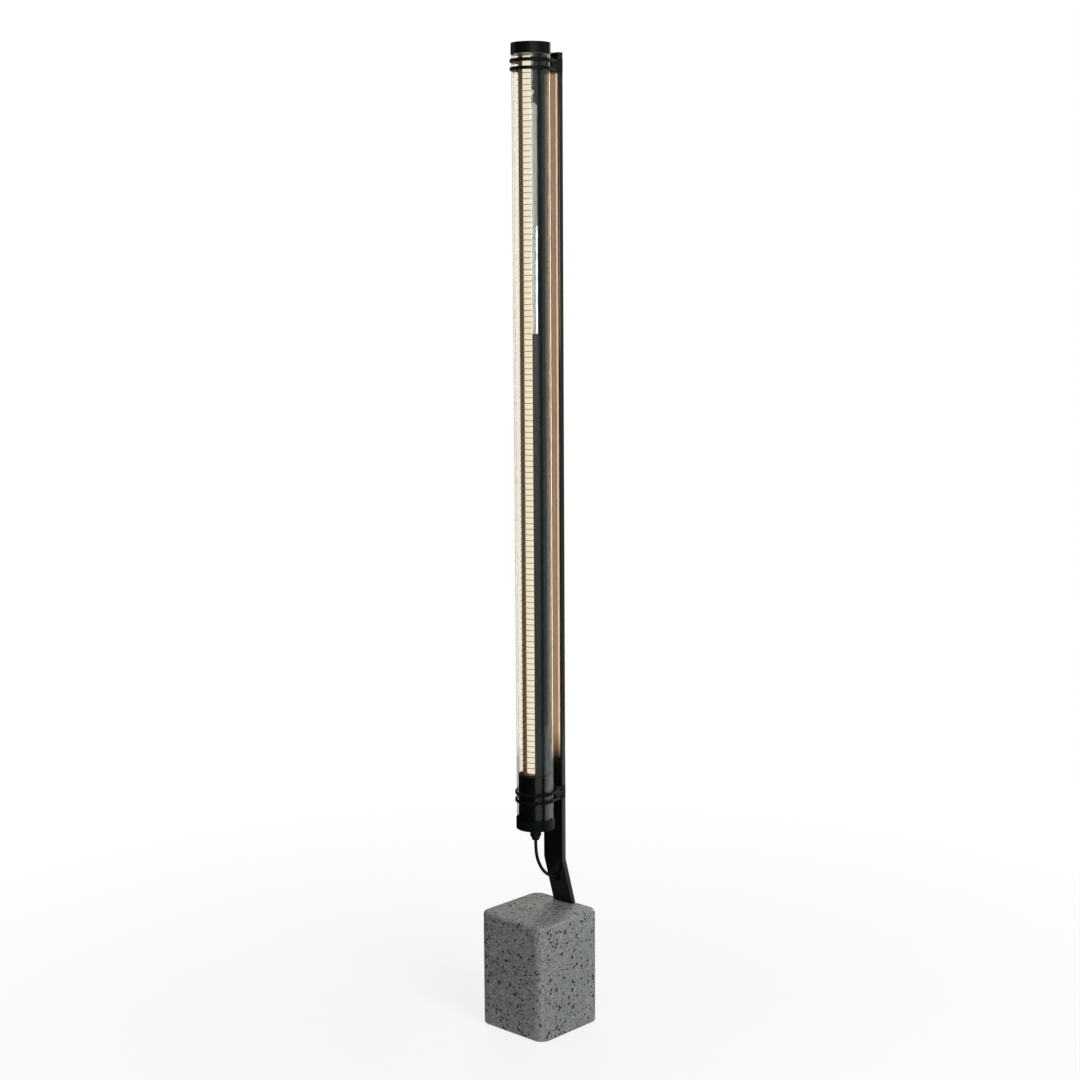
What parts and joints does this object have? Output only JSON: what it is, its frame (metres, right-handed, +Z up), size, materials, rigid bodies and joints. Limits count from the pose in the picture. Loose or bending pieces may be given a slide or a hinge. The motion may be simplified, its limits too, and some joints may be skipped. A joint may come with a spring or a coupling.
{
  "type": "outdoor floor lamp",
  "caption": "Outdoor floor lamp: a lit clear glass tube with a mesh inside, strapped to a cranked flat mast that is let into the back of a square stone block.",
  "frame": {"origin": "on the underside of the base pad, under the tube's axis", "axes": "+Z up along the tube, +Y back towards the mast, +X right"},
  "size_m": [0.163, 0.163, 1.831],
  "materials": {
    "base_stone": "honed speckled terrazzo",
    "pad_rubber": "moulded",
    "insert_brass": "turned",
    "mast_paint": "black paint, half gloss",
    "plug_plastic": "moulded",
    "screw_black": "black oxide",
    "spacer_steel": "cut tube",
    "saddle_plastic": "moulded",
    "strap_rubber": "moulded ring",
    "cord_black": "smooth sheath",
    "clear_glass": "clear drawn tube",
    "cap_black": "black anodised",
    "seal_rubber": "moulded ring",
    "gland_plastic": "moulded",
    "driver_black": "moulded",
    "driver_potting": "potted",
    "wire_sheath": "insulated wire",
    "frame_aluminium": "extruded",
    "strip_white": "printed board",
    "chip_yellow": "phosphor",
    "diffuser_opal": "opal",
    "shield_dark": "dark anodised",
    "mesh_bronze": "dark bronzed sheet",
    "ring_brass": "drawn wire"
  },
  "bodies": {
    "stand": {"base_block": "base_stone", "base_pad": "pad_rubber", "base_inserts": "insert_brass", "mast": "mast_paint", "mast_top_plug": "plug_plastic", "mast_foot_plug": "plug_plastic", "foot_screws": "screw_black", "saddle_screws": "screw_black", "mast_spacers": "spacer_steel", "upper_saddle": "saddle_plastic", "lower_saddle": "saddle_plastic", "upper_strap_high": "strap_rubber", "upper_strap_low": "strap_rubber", "lower_strap_high": "strap_rubber", "lower_strap_low": "strap_rubber", "lead_grommet": "strap_rubber", "lamp_lead": "cord_black", "mast_cable": "cord_black"},
    "lamp_tube": {"glass_tube": "clear_glass", "top_cap": "cap_black", "bottom_cap": "cap_black", "cap_seals": "seal_rubber", "cap_screws": "screw_black", "gland_body": "gland_plastic", "gland_nut": "gland_plastic", "gland_seal": "seal_rubber", "gland_locknut": "gland_plastic", "tube_lead": "cord_black", "driver_housing": "driver_black", "driver_cover": "driver_black", "driver_module": "driver_potting", "led_wires": "wire_sheath", "top_disc": "frame_aluminium", "led_core": "frame_aluminium", "core_screws": "screw_black", "led_strips": "strip_white", "led_chips": "chip_yellow", "diffuser": "diffuser_opal", "lower_collar": "frame_aluminium", "upper_collar": "frame_aluminium", "glare_shield": "shield_dark", "mesh_rings": "ring_brass", "mesh_strips": "mesh_bronze"}
  },
  "joints": [
    {"name": "tube_turn", "type": "hinge", "parent": "stand", "child": "lamp_tube", "pos_m": [0, 0, 1.1], "axis": [0, 0, 1], "range_deg": [-90, 90]}
  ]
}
